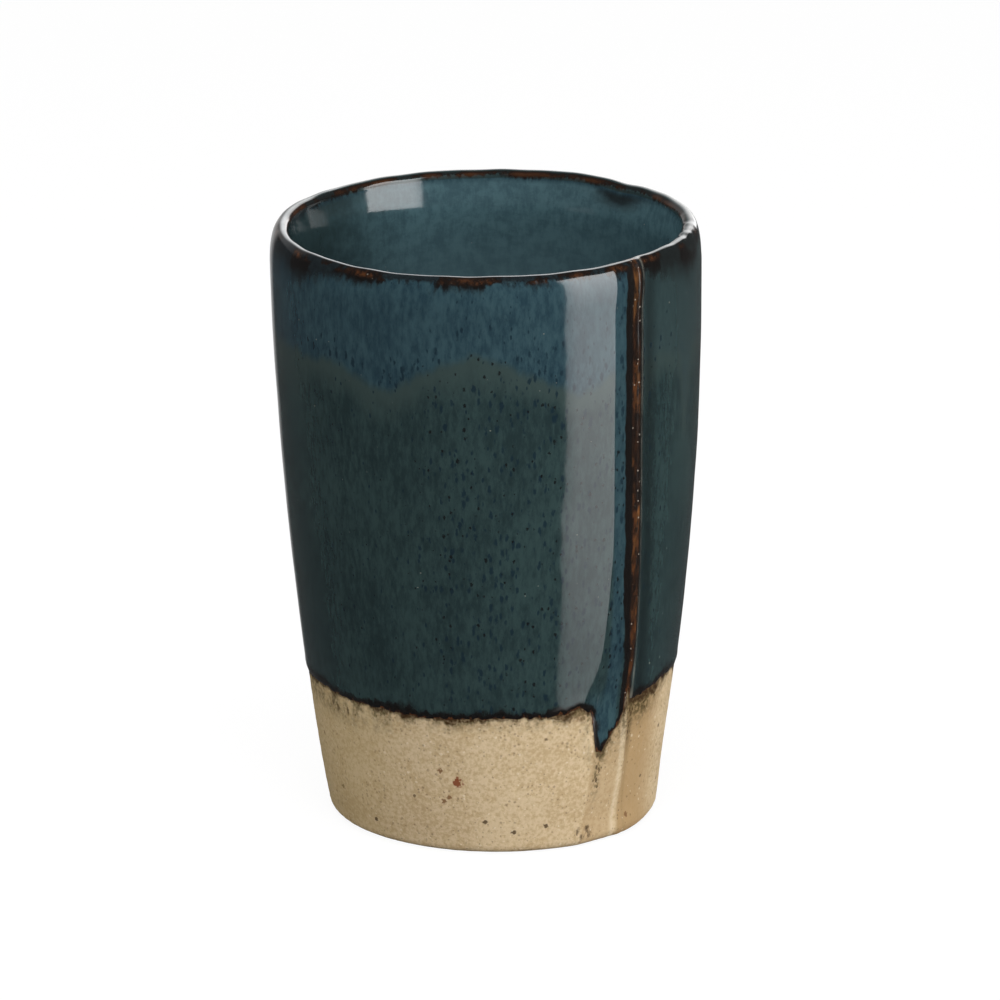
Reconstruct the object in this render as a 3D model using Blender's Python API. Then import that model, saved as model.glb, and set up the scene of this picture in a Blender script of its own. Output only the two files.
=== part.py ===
"""Stoneware espresso beaker: a clay slab rolled round a floor disc, lapped at one seam, and glazed in coats.

Metres, +Z up. The origin is the middle of the underside. Azimuths are counted from -Y towards +X.
"""

import math

import bmesh
import bpy

# The clay wall, at the thin end of the slab
CLAY_HEIGHT = 0.0842
FOOT_RADIUS = 0.02205
BELLY_RADIUS = 0.02868
BELLY_DROP = 0.0047
WALL_SWELL = 0.00175
WALL_THICKNESS = 0.0030
FOOT_ROUND = 0.0025
LIP_THICKNESS = 0.0014
LIP_TAPER = 0.0160
LIP_TUCK = 0.0007
TOP_LEAN = 0.0010

# The lapped seam: its thick end stands proud, with a rib along its edge and a trough to the left of the rib
SEAM_AZIMUTH = math.radians(47.0)
SEAM_STEP = 0.0010
SEAM_RUN = 0.0015
RIB_HEIGHT = 0.00035
RIB_OFFSET = 0.0010
RIB_WIDTH = 0.0009
TROUGH_DEPTH = 0.0003
TROUGH_OFFSET = 0.0046
TROUGH_WIDTH = 0.0022
LAP_LENGTH = 0.0085
SLIP_THICKNESS = 0.0003
SLIP_MARGIN = 0.0010
SEAM_CLOSED = 0.0100

# The floor
FLOOR_THICKNESS = 0.0045
COIL_RADIUS = 0.0030

# The glaze coats
BOND_GAP = 0.0002
BODY_COAT = 0.0003
DIP_COAT = 0.00025
LINER_COAT = 0.0004
LIP_COAT = 0.0004

# The lower edge of the body coat, and its run in the trough
GLAZE_LINE = 0.0203
GLAZE_WAVE = 0.0004
GLAZE_WAVES = 3
RUN_LENGTH = 0.0070
RUN_WIDTH = 0.0040

# The lower edge of the second dip, below the top of the outside coats
DIP_DEPTH = 0.0136
DIP_WAVE = 0.0026
DIP_WAVES = 7
DIP_LOW_AZIMUTH = math.radians(-33.0)

# Looks: colour and roughness
STONEWARE = ((0.50, 0.38, 0.23), 0.85)
DRIED_SLIP = ((0.42, 0.31, 0.18), 0.90)
LINER_BLUE = ((0.030, 0.061, 0.072), 0.15)
BODY_TEAL = ((0.018, 0.034, 0.036), 0.18)
DIP_BLUE = ((0.026, 0.054, 0.066), 0.15)
LIP_BROWN = ((0.055, 0.035, 0.025), 0.20)

# Facets
SEAM_STATIONS = 60
SEAM_CROWDING = 0.8
ROUND_STATIONS = 40
WALL_ROWS = 10
BODY_ROWS = 8
DIP_ROWS = 4
LINER_ROWS = 9
FOOT_STEPS = 3
LIP_STEPS = 6
COIL_STEPS = 4
LAP_STEPS = 6
SMOOTH_ANGLE = math.radians(40.0)
MERGE_DISTANCE = 0.000001

# How far a cutter reaches past what it cuts
CUT_PAST = 0.0010

FULL_TURN = 2.0 * math.pi
BELLY_HEIGHT = CLAY_HEIGHT - BELLY_DROP
LIP_HALF = LIP_THICKNESS / 2.0
LIP_START = CLAY_HEIGHT - LIP_HALF
COAT_TOP = LIP_START - BOND_GAP
DIP_LINE = COAT_TOP - DIP_DEPTH
SLIP_SPACE = SLIP_THICKNESS + 2.0 * BOND_GAP


def bell(distance, width):
    """A smooth bump of height 1."""
    return math.exp(-((distance / width) ** 2))


def ease(share):
    """A smooth step from 0 to 1."""
    share = min(max(share, 0.0), 1.0)
    return share * share * (3.0 - 2.0 * share)


def rows(low, high, count):
    """Heights from low to high that crowd towards the lip."""
    return [high - (high - low) * (1.0 - k / count) ** 2 for k in range(count + 1)]


def clay_radius(height):
    """Outer face at the thin end of the slab: it swells from foot to belly, then tucks in to the lip."""
    if height > BELLY_HEIGHT:
        rise = (height - BELLY_HEIGHT) / BELLY_DROP
        return BELLY_RADIUS - LIP_TUCK * rise**2
    share = height / BELLY_HEIGHT
    taper = FOOT_RADIUS + (BELLY_RADIUS - FOOT_RADIUS) * share
    return taper + 4.0 * WALL_SWELL * share * (1.0 - share)


def taper_share(height):
    """0 below the tapered top of the wall, 1 where the lip's rounding starts."""
    start = LIP_START - LIP_TAPER
    return min(max((height - start) / LIP_TAPER, 0.0), 1.0)


def inside_radius(height):
    """Inner face of the clay, round all the way, with the wall thinned to the lip."""
    thickness = WALL_THICKNESS - (WALL_THICKNESS - LIP_THICKNESS) * taper_share(height) ** 2
    return clay_radius(height) - thickness


def lap_profile(left, height):
    """How far the outer face stands proud at an angle to the left of the seam's edge, before the step."""
    arc = left * clay_radius(height)
    spiral = SEAM_STEP * (1.0 - left / FULL_TURN)
    rib = RIB_HEIGHT * bell(arc - RIB_OFFSET, RIB_WIDTH)
    trough = TROUGH_DEPTH * bell(arc - TROUGH_OFFSET, TROUGH_WIDTH)
    return spiral + rib - trough


def outer_radius(left, height):
    """Outer face of the clay, with the seam's step to the right of its edge. It fades out at the lip."""
    left = left % FULL_TURN
    arc_right = (FULL_TURN - left) * clay_radius(height)
    step = ease(1.0 - arc_right / SEAM_RUN)
    proud = lap_profile(left, height) * (1.0 - step) + lap_profile(0.0, height) * step
    return clay_radius(height) + proud * (1.0 - taper_share(height) ** 2)


def point(left, radius, height):
    """The point at an angle to the left of the seam's edge. The cup's axis leans to -X towards the lip."""
    azimuth = SEAM_AZIMUTH - left
    x = radius * math.sin(azimuth)
    y = -radius * math.cos(azimuth)
    rise = height / CLAY_HEIGHT
    tilt = 2.0 * TOP_LEAN * rise / CLAY_HEIGHT
    return (x - TOP_LEAN * rise**2, y, height + tilt * x)


def seam_stations():
    """Angles to the left of the seam's edge for one turn, crowded near the seam."""
    turns = [FULL_TURN * k / SEAM_STATIONS - math.pi for k in range(SEAM_STATIONS)]
    return [turn - SEAM_CROWDING * math.sin(turn) for turn in turns]


def round_stations():
    """Even angles for one turn."""
    return [FULL_TURN * k / ROUND_STATIONS for k in range(ROUND_STATIONS)]


def glaze_line(left):
    """Height of the body coat's lower edge: a slow wave, and the run that came down in the trough."""
    wave = GLAZE_WAVE * math.cos(GLAZE_WAVES * left)
    arc = math.remainder(left, FULL_TURN) * clay_radius(GLAZE_LINE)
    run = RUN_LENGTH * bell(arc - TROUGH_OFFSET, RUN_WIDTH / 2.0)
    return GLAZE_LINE + wave - run


def dip_line(left):
    """Height of the second dip's lower edge, which hangs in swags."""
    azimuth = SEAM_AZIMUTH - left
    return DIP_LINE - DIP_WAVE * math.cos(DIP_WAVES * (azimuth - DIP_LOW_AZIMUTH))


def finish(name, look):
    """A plain material for one piece."""
    colour, roughness = look
    material = bpy.data.materials.new(name + "_finish")
    material.use_nodes = True
    shader = material.node_tree.nodes["Principled BSDF"]
    shader.inputs["Base Color"].default_value = (*colour, 1.0)
    shader.inputs["Roughness"].default_value = roughness
    shader.inputs["Metallic"].default_value = 0.0
    material.diffuse_color = (*colour, 1.0)
    return material


def loft(name, loops, closed, material, parent):
    """One closed mesh through section loops. Open lofts get their two ends filled."""
    mesh = bpy.data.meshes.new(name)
    shape = bmesh.new()
    rings = [[shape.verts.new(corner) for corner in loop] for loop in loops]
    following = rings[1:] + rings[:1] if closed else rings[1:]
    for near, far in zip(rings, following):
        for k in range(len(near)):
            after = (k + 1) % len(near)
            shape.faces.new((near[k], near[after], far[after], far[k]))
    if not closed:
        shape.faces.new(rings[0])
        shape.faces.new(rings[-1])
    bmesh.ops.remove_doubles(shape, verts=shape.verts, dist=MERGE_DISTANCE)
    bmesh.ops.recalc_face_normals(shape, faces=shape.faces)
    shape.to_mesh(mesh)
    shape.free()
    mesh.shade_smooth()
    mesh.set_sharp_from_angle(angle=SMOOTH_ANGLE)
    mesh.materials.append(material)
    piece = bpy.data.objects.new(name, mesh)
    bpy.context.collection.objects.link(piece)
    piece.parent = parent
    return piece


def turned(name, section, material, parent):
    """A ring or disc: one section of radii and heights carried round the axis."""
    loops = [[point(left, radius, height) for radius, height in section] for left in round_stations()]
    return loft(name, loops, True, material, parent)


def lap_radius(arc, height):
    """Middle of the slip layer: from the foot of the step, in under the proud end, to the inner face."""
    share = (arc + SEAM_RUN) / (LAP_LENGTH + SEAM_RUN)
    outside = clay_radius(height)
    return outside + (inside_radius(height) - outside) * share


def lap_layer(name, arc_range, height_range, thickness, material, parent):
    """A curved layer that lies in the lap."""
    low, high = height_range
    start, end = arc_range
    heights = [low + (high - low) * k / WALL_ROWS for k in range(WALL_ROWS + 1)]
    loops = []
    for k in range(LAP_STEPS + 1):
        arc = start + (end - start) * k / LAP_STEPS
        outer = []
        inner = []
        for height in heights:
            left = arc / clay_radius(height)
            middle = lap_radius(arc, height)
            outer.append(point(left, middle + thickness / 2.0, height))
            inner.append(point(left, middle - thickness / 2.0, height))
        loops.append(outer + inner[::-1])
    return loft(name, loops, False, material, parent)


def wall_section(left):
    """Section of the wall at one angle: up outside from the foot's rounding, over the lip, down inside."""
    outer = []
    inner = []
    for k in range(FOOT_STEPS):
        turn = math.pi / 2.0 * k / FOOT_STEPS
        height = FOOT_ROUND * (1.0 - math.cos(turn))
        drawn_in = FOOT_ROUND * (1.0 - math.sin(turn))
        outer.append((outer_radius(left, FOOT_ROUND) - drawn_in, height))
        inner.append((inside_radius(height), height))
    for height in rows(FOOT_ROUND, LIP_START, WALL_ROWS):
        outer.append((outer_radius(left, height), height))
        inner.append((inside_radius(height), height))
    middle = clay_radius(LIP_START) - LIP_HALF
    for k in range(1, LIP_STEPS // 2):
        turn = math.pi * k / LIP_STEPS
        height = LIP_START + LIP_HALF * math.sin(turn)
        reach = LIP_HALF * math.cos(turn)
        outer.append((middle + reach, height))
        inner.append((middle - reach, height))
    return outer + [(middle, CLAY_HEIGHT)] + inner[::-1]


def make_wall(parent):
    """The rolled slab. Room for the lap's slip is cut out of it, but foot and lip are worked closed."""
    clay = finish("wall_slab", STONEWARE)
    loops = [[point(left, r, z) for r, z in wall_section(left)] for left in seam_stations()]
    wall = loft("wall_slab", loops, True, clay, parent)
    arc_range = (-SEAM_RUN - 2.0 * CUT_PAST, LAP_LENGTH + 2.0 * CUT_PAST)
    height_range = (FOOT_ROUND, LIP_START - SEAM_CLOSED)
    cutter = lap_layer("lap_cutter", arc_range, height_range, SLIP_SPACE, clay, parent)
    cutter.hide_render = True
    cutter.display_type = "WIRE"
    cut = wall.modifiers.new("lap", "BOOLEAN")
    cut.operation = "DIFFERENCE"
    cut.solver = "EXACT"
    cut.object = cutter


def make_seam_slip(parent):
    """The slip that bonds the lap, from the foot's rounding to the closed top of the seam."""
    slip = finish("seam_slip", DRIED_SLIP)
    arc_range = (-SEAM_RUN + SLIP_MARGIN, LAP_LENGTH - SLIP_MARGIN)
    height_range = (FOOT_ROUND + BOND_GAP, LIP_START - SEAM_CLOSED - BOND_GAP)
    lap_layer("seam_slip", arc_range, height_range, SLIP_THICKNESS, slip, parent)


def make_floor(parent):
    """The floor disc, whose edge follows the wall's taper."""
    clay = finish("floor_disc", STONEWARE)
    low = inside_radius(0.0) - SLIP_SPACE
    high = inside_radius(FLOOR_THICKNESS) - SLIP_SPACE
    section = [(0.0, 0.0), (low, 0.0), (high, FLOOR_THICKNESS), (0.0, FLOOR_THICKNESS)]
    turned("floor_disc", section, clay, parent)


def make_floor_slip(parent):
    """The ring of slip between the floor's edge and the wall."""
    slip = finish("floor_slip", DRIED_SLIP)
    low = BOND_GAP
    high = FLOOR_THICKNESS
    outside = [(inside_radius(z) - BOND_GAP, z) for z in (low, high)]
    inside = [(r - SLIP_THICKNESS, z) for r, z in outside]
    turned("floor_slip", outside + inside[::-1], slip, parent)


def coil_face(gap):
    """The coil's hollow face, tangent to the leaning wall and to the floor, moved inwards by a gap."""
    foot = FLOOR_THICKNESS + BOND_GAP
    centre_height = foot + COIL_RADIUS
    wall_lean = math.atan((inside_radius(centre_height) - inside_radius(foot)) / COIL_RADIUS)
    centre = inside_radius(centre_height) - (BOND_GAP + COIL_RADIUS) / math.cos(wall_lean)
    reach = COIL_RADIUS - gap
    face = []
    for k in range(COIL_STEPS + 1):
        turn = wall_lean + (math.pi / 2.0 - wall_lean) * k / COIL_STEPS
        face.append((centre + reach * math.cos(turn), centre_height - reach * math.sin(turn)))
    return face


def make_coil(parent):
    """The coil that is worked into the inside corner."""
    clay = finish("corner_coil", STONEWARE)
    foot = FLOOR_THICKNESS + BOND_GAP
    corner = (inside_radius(foot) - BOND_GAP, foot)
    turned("corner_coil", coil_face(0.0) + [corner], clay, parent)


def inside_face(gap):
    """The cup's inside from the lip down the wall, round the coil and over the floor to the axis."""
    coil_top = FLOOR_THICKNESS + BOND_GAP + COIL_RADIUS
    wall = [(inside_radius(z) - gap, z) for z in rows(coil_top, COAT_TOP, LINER_ROWS)]
    floor = FLOOR_THICKNESS + BOND_GAP + gap
    return wall[:0:-1] + coil_face(gap) + [(0.0, floor)]


def make_liner(parent):
    """The glaze that was poured inside."""
    glaze = finish("liner_glaze", LINER_BLUE)
    section = inside_face(BOND_GAP) + inside_face(BOND_GAP + LINER_COAT)[::-1]
    turned("liner_glaze", section, glaze, parent)


def coat(name, edge, start, thickness, count, material, parent):
    """An outside coat from its wavy lower edge up to the lip."""
    loops = []
    for left in seam_stations():
        heights = rows(edge(left), COAT_TOP, count)
        inner = [point(left, outer_radius(left, z) + start, z) for z in heights]
        outer = [point(left, outer_radius(left, z) + start + thickness, z) for z in heights]
        loops.append(outer + inner[::-1])
    loft(name, loops, True, material, parent)


def make_body_glaze(parent):
    """The first outside coat, with its run beside the seam."""
    glaze = finish("body_glaze", BODY_TEAL)
    coat("body_glaze", glaze_line, BOND_GAP, BODY_COAT, BODY_ROWS, glaze, parent)


def make_dip_glaze(parent):
    """The second dip, over the top of the first coat."""
    glaze = finish("dip_glaze", DIP_BLUE)
    start = BOND_GAP + BODY_COAT + BOND_GAP
    coat("dip_glaze", dip_line, start, DIP_COAT, DIP_ROWS, glaze, parent)


def make_lip_glaze(parent):
    """The coat over the lip, as thick at its two feet as the coats that it meets."""
    glaze = finish("lip_glaze", LIP_BROWN)
    outer_foot = BOND_GAP + BODY_COAT + BOND_GAP + DIP_COAT
    inner_foot = BOND_GAP + LINER_COAT
    middle = clay_radius(LIP_START) - LIP_HALF
    over = []
    under = []
    for k in range(LIP_STEPS + 1):
        turn = math.pi * k / LIP_STEPS
        foot = outer_foot if k < LIP_STEPS / 2 else inner_foot
        over_height = LIP_START + (LIP_HALF + BOND_GAP + LIP_COAT) * math.sin(turn)
        over.append((middle + (LIP_HALF + foot) * math.cos(turn), over_height))
        under_height = LIP_START + (LIP_HALF + BOND_GAP) * math.sin(turn)
        under.append((middle + (LIP_HALF + BOND_GAP) * math.cos(turn), under_height))
    section = over + under[::-1]
    loops = [[point(left, r, z) for r, z in section] for left in seam_stations()]
    loft("lip_glaze", loops, True, glaze, parent)


def main():
    """Clears the scene and builds the cup in the order in which it is made."""
    for thing in list(bpy.data.objects):
        bpy.data.objects.remove(thing, do_unlink=True)
    cup = bpy.data.objects.new("cup", None)
    bpy.context.collection.objects.link(cup)
    make_wall(cup)
    make_seam_slip(cup)
    make_floor(cup)
    make_floor_slip(cup)
    make_coil(cup)
    make_liner(cup)
    make_body_glaze(cup)
    make_dip_glaze(cup)
    make_lip_glaze(cup)


main()
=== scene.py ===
"""Looks of a slab-built stoneware espresso cup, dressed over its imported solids.

Metres, +Z up, the camera's side at -Y. Three pieces are modelled: the glaze as one skin from its
lower edge over the lip to the floor inside, the stoneware wall with its lapped seam, and the
stoneware floor that shows underneath. Azimuth is 0 at the front and grows to the right.
"""

import logging
import math
from dataclasses import dataclass
from enum import Enum
from typing import Any, Dict, List, Optional, Sequence, Tuple, Union

import bpy
import numpy as np
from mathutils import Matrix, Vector


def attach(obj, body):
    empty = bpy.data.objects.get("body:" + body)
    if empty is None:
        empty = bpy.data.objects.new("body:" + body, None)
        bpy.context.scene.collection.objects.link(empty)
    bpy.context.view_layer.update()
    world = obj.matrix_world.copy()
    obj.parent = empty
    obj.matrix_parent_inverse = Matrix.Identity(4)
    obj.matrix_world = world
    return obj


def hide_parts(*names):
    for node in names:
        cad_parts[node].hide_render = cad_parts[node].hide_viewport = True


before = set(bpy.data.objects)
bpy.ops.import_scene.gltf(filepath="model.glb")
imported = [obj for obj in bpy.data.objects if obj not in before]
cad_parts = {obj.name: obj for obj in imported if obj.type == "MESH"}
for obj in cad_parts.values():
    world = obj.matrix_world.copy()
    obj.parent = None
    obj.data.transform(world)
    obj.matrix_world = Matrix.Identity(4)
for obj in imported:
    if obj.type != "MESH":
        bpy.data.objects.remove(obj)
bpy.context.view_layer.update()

MM = 0.001
FAR = 60.0
LOG = logging.getLogger("espresso_cup")

Array = np.ndarray
Colour = Tuple[float, float, float]
Place = Tuple[float, float]
Point = Tuple[float, float, float]


def ease(value: Array) -> Array:
    """Smooth step from 0 to 1.

    Args:
        value: Numbers that the step follows, from 0 at its start to 1 at its end.

    Returns:
        The eased numbers, flat outside the step.
    """
    share = np.clip(value, 0.0, 1.0)
    return share * share * (3.0 - 2.0 * share)


def bell(value: Array, centre: float, width: float) -> Array:
    """Round hump of height 1.

    Args:
        value: Numbers that the hump runs over.
        centre: Where the hump is highest.
        width: Distance from the centre at which little more than a third is left.

    Returns:
        The hump's height at each number.
    """
    return np.exp(-(((value - centre) / width) ** 2))


def hump(azimuth: Array, centre: float, width: float) -> Array:
    """Round hump over directions, with its centre and width in degrees."""
    return bell(azimuth, math.radians(centre), math.radians(width))


def degrees_of(azimuth: Array) -> Array:
    """Directions in degrees from -180 to 180."""
    return np.degrees(np.mod(azimuth + math.pi, 2.0 * math.pi) - math.pi)


def rising(z: Array, start: float, length: float) -> Array:
    """Smooth step that grows upwards from a height over a length, both in millimetres."""
    return ease((z - start * MM) / (length * MM))


def falling(z: Array, start: float, length: float) -> Array:
    """Smooth step that grows downwards from a height over a length, both in millimetres."""
    return ease((start * MM - z) / (length * MM))


@dataclass(frozen=True)
class Ripples:
    """Smooth seeded unevenness in space, such as a hand leaves in clay."""

    seed: int
    wavelength: float
    waves: int = 26

    def at(self, points: Array) -> Array:
        """Height of the unevenness.

        Args:
            points: Places as rows of x, y, z in metres.

        Returns:
            One height for each place, mostly between -1 and 1.
        """
        draw = np.random.default_rng(self.seed)
        ways = draw.normal(size=(self.waves, 3))
        ways /= np.linalg.norm(ways, axis=1, keepdims=True)
        ways *= (2.0 * math.pi / self.wavelength) * draw.uniform(0.6, 1.4, size=(self.waves, 1))
        phases = draw.uniform(0.0, 2.0 * math.pi, size=self.waves)
        return np.sin(points @ ways.T + phases).sum(axis=1) / math.sqrt(self.waves)


class Zone(Enum):
    """Stretch of the cup's section that a row of points lies on."""

    OUTSIDE = "outside wall"
    SHOULDER = "outer half of the lip"
    LIP = "inner half of the lip"
    INSIDE = "inside wall"
    HEEL = "rounded corner inside"
    FLOOR = "floor"
    FOOT = "rounded corner of the foot"
    RING = "ring that the cup stands on"
    EDGE = "edge of the floor disc"


@dataclass(frozen=True)
class Row:
    """One row of points round the cup: its stretch, how far along it, and how deep under the surface."""

    zone: Zone
    share: float
    depth: float = 0.0

    @property
    def angle(self) -> float:
        """The row's share of a quarter turn, for rounded stretches."""
        return self.share * math.pi / 2.0


def even_rows(zone: Zone, count: int) -> List[Row]:
    """Rows spaced evenly along one stretch, without its start."""
    return [Row(zone, i / count) for i in range(1, count + 1)]


def rows_at(zone: Zone, shares: Sequence[float], depth: float = 0.0) -> List[Row]:
    """Rows at given shares of one stretch, on its surface or under it."""
    return [Row(zone, share, depth) for share in shares]


@dataclass(frozen=True)
class CupForm:
    """Sizes and handmade shape of the cup, shared by its pieces."""

    height: float = 84.55 * MM
    belly_height: float = 79.4 * MM
    foot_radius: float = 22.75 * MM
    belly_radius: float = 29.75 * MM
    wall_swell: float = 1.62 * MM
    foot_round: float = 1.7 * MM
    lip_inset: float = 1.6 * MM
    lip_square: float = 2.25
    lip_drop: float = 0.9 * MM
    lip_wall: float = 2.6 * MM
    lip_worked: float = 0.35
    inside_shift: float = 0.25 * MM
    flare_slope: float = 0.27
    flare_length: float = 4.3 * MM
    wall_growth: float = 0.5 * MM
    top_lean: float = 0.90 * MM
    top_tilt: float = 0.5
    floor_top: float = 5.4 * MM
    heel_round: float = 4.5 * MM
    ring_inside: float = 18.9 * MM
    foot_spread: float = 0.9 * MM

    seam_azimuth: float = math.radians(46.6)
    seam_low_swing: float = math.radians(3.4)
    seam_top_swing: float = math.radians(1.2)
    lap_step: float = 1.1 * MM
    lap_run: float = 1.8 * MM
    ridge_offset: float = 2.25 * MM
    ridge_width: float = 0.85 * MM
    ridge_height: float = 0.06 * MM
    pressed_reach: float = 6.25 * MM
    pressed_azimuth: float = math.radians(43.5)

    glaze_height: float = 20.7 * MM
    coat: float = 0.2 * MM
    bead: float = 0.07 * MM
    run_drop: float = 6.9 * MM
    dip_height: float = 70.3 * MM
    ragged_height: float = 0.055
    ragged_waves: Tuple[Place, ...] = (
        (39.0, 0.3), (57.0, 0.0), (71.0, 2.1), (83.0, 1.0), (101.0, 4.0), (127.0, 5.2))

    def mean_radius(self, z: Array) -> Array:
        """Radius of the clay wall before the lap's relief.

        Args:
            z: Heights above the foot.

        Returns:
            The radius at each height, held at the belly's above it.
        """
        share = np.clip(z / self.belly_height, 0.0, 1.0)
        taper = self.foot_radius + (self.belly_radius - self.foot_radius) * share
        return taper + 4.0 * self.wall_swell * share * (1.0 - share)

    def seam_at(self, z: Array) -> Array:
        """Azimuth of the lap's toe, which wanders a little as it climbs.

        Args:
            z: Heights above the foot.

        Returns:
            The azimuth at each height.
        """
        low = self.seam_low_swing * falling(z, 66.0, 48.0)
        high = self.seam_top_swing * rising(z, 77.0, 7.0)
        return self.seam_azimuth + low + high

    def relief(self, turn: Array, z: Array) -> Array:
        """How far the lapped slab stands out from the mean wall.

        Args:
            turn: Angles to the left of the lap's toe, from -pi to pi.
            z: Heights above the foot.

        Returns:
            The relief at each place, which winds inwards once round and steps back at the lap.
        """
        around = self.mean_radius(z)
        arc = turn * around
        wound = np.mod(turn, 2.0 * math.pi) / (2.0 * math.pi)
        step = self.lap_step * (0.15 + 0.85 * rising(z, 0.0, 9.0))
        slab = step * (0.5 - wound)
        slab -= np.where(arc >= 0.0, step * (1.0 - ease(arc / self.lap_run)), 0.0)
        firm = 0.6 + 0.4 * rising(z, 14.0, 10.0)
        ridge = self.ridge_height * firm * bell(arc, self.ridge_offset, self.ridge_width)
        toe = 0.06 * MM * bell(arc, -0.5 * MM, 0.5 * MM)
        spread = self.foot_spread * (bell(turn, 0.04, 0.34) - 0.35 * bell(turn, 1.4, 0.45))
        spread = spread * (1.0 - rising(z, 0.0, 5.0))
        return slab + ridge - toe + spread - self.pressed(arc, z, around)

    def pressed(self, arc: Array, z: Array, around: Array) -> Array:
        """Depth of the strip beside the ridge that was pressed flat.

        Args:
            arc: Distances to the left of the lap's toe.
            z: Heights above the foot.
            around: Radius of the wall at each place.

        Returns:
            How far the flat strip lies below the round wall.
        """
        reach = self.pressed_reach + 1.3 * MM * falling(z, 48.0, 22.0)
        reach = reach + 2.5 * MM * bell(z, 21.5 * MM, 4.5 * MM)
        middle = (self.seam_at(z) - self.pressed_azimuth) * around
        depth = ((reach - middle) ** 2 - (arc - middle) ** 2) / (2.0 * around)
        beside = ease(arc / self.lap_run)
        return np.where(arc < reach, np.maximum(depth, 0.0) * beside, 0.0)

    def wall_radius(self, turn: Array, z: Array) -> Array:
        """Radius of the clay's outside with the lap's relief."""
        return self.mean_radius(z) + self.relief(turn, z)

    def from_ridge(self, turn: Array, z: Array) -> Array:
        """Distances to the left of the lap's ridge."""
        return turn * self.mean_radius(z) - self.ridge_offset

    def edge_azimuth(self, turn: Array) -> Array:
        """Directions at the height of the glaze's lower edge."""
        return self.seam_at(self.glaze_height) - turn

    def rim_azimuth(self, turn: Array) -> Array:
        """Directions at the height of the lip."""
        return self.seam_at(self.height) - turn

    def glaze_line(self, azimuth: Array) -> Array:
        """Height of the glaze's lower edge.

        Args:
            azimuth: Directions from the cup's axis.

        Returns:
            The edge's height, with its waves, its crawled bite and the run beside the lap.
        """
        waves = 0.16 * np.sin(5.0 * azimuth + 0.6) + 0.10 * np.sin(11.0 * azimuth + 2.0)
        ragged = 0.0
        for cycles, phase in self.ragged_waves:
            ragged = ragged + self.ragged_height * np.sin(cycles * azimuth + phase)
        rise_right = 0.7 * hump(azimuth, 72.0, 16.0)
        bite = 0.6 * np.exp(-(((azimuth - math.radians(26.4)) / math.radians(3.0)) ** 4))
        drip = -0.5 * hump(azimuth, 30.1, 1.0)
        bare_ridge = 2.6 * hump(azimuth, 46.6, 1.1)
        left = ease((azimuth - math.radians(30.8)) / math.radians(3.6))
        right = np.clip((math.radians(48.0) - azimuth) / math.radians(12.4), 0.0, 0.95)
        run = self.run_drop * left * right
        return self.glaze_height + MM * (waves + ragged + rise_right + bite + drip + bare_ridge) - run

    def from_line(self, azimuth: Array, z: Array) -> Array:
        """Distance along the wall to the nearest point of the glaze's lower edge.

        Args:
            azimuth: Directions from the cup's axis.
            z: Heights above the foot.

        Returns:
            The distance, above the edge more than 0 and below it less.
        """
        around = self.mean_radius(z)
        rise = z - self.glaze_line(azimuth)
        nearest = np.abs(rise)
        for aside in np.linspace(-4.0 * MM, 4.0 * MM, 81):
            there = z - self.glaze_line(azimuth + aside / around)
            nearest = np.minimum(nearest, np.hypot(aside, there))
        return np.copysign(nearest, rise)

    def dip_line(self, azimuth: Array) -> Array:
        """Height of the second dip's lower edge, which hangs in swags.

        Args:
            azimuth: Directions from the cup's axis.

        Returns:
            The edge's height at each direction.
        """
        degrees = degrees_of(azimuth)
        peak = 2.9 * bell(degrees, -3.0, 13.0)
        low_left = -2.4 * bell(degrees, -29.0, 9.0)
        low_right = -2.6 * bell(degrees, 24.0, 10.0)
        streak = -8.5 * bell(degrees, 67.5, 2.2) - 1.5 * bell(degrees, 70.0, 14.0)
        behind = 1.8 * np.sin(np.radians(4.0 * degrees)) * ease((np.abs(degrees) - 95.0) / 30.0)
        return self.dip_height + MM * (peak + low_left + low_right + streak + behind)

    def lip_burn(self, azimuth: Array, outside: bool) -> Array:
        """How far the burnt edge of the lip reaches down.

        Args:
            azimuth: Directions from the cup's axis.
            outside: Whether the outer side is meant.

        Returns:
            The reach at each direction.
        """
        degrees = degrees_of(azimuth)
        if not outside:
            thin_left = 1.3 * bell(degrees, -105.0, 32.0)
            return MM * (0.6 + thin_left + 0.3 * bell(degrees, 150.0, 40.0))
        left = 2.2 * bell(degrees, -62.0, 24.0)
        middle = 0.5 * bell(degrees, -8.0, 9.0)
        right = 3.0 * bell(degrees, 66.0, 17.0)
        behind = 0.5 * ease((np.abs(degrees) - 85.0) / 30.0)
        return MM * (0.75 + left + middle + right + behind)

    def lip_wobble(self, azimuth: Array) -> Array:
        """Unevenness of the lip's height, with a small notch at the back on the right.

        Args:
            azimuth: Directions from the cup's axis.

        Returns:
            The height added at each direction.
        """
        waves = 0.05 * np.sin(3.0 * azimuth + 0.4) + 0.05 * np.sin(7.0 * azimuth + 1.9)
        fine = 0.03 * np.sin(19.0 * azimuth) + 0.02 * np.sin(31.0 * azimuth + 0.8)
        crumbly = hump(azimuth, 80.0, 13.0)
        fine = fine + crumbly * (0.06 * np.sin(43.0 * azimuth) + 0.03 * np.sin(71.0 * azimuth + 1.0))
        notch = 0.32 * hump(azimuth, 137.0, 5.5)
        return MM * (waves + fine - notch - 0.06)

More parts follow.
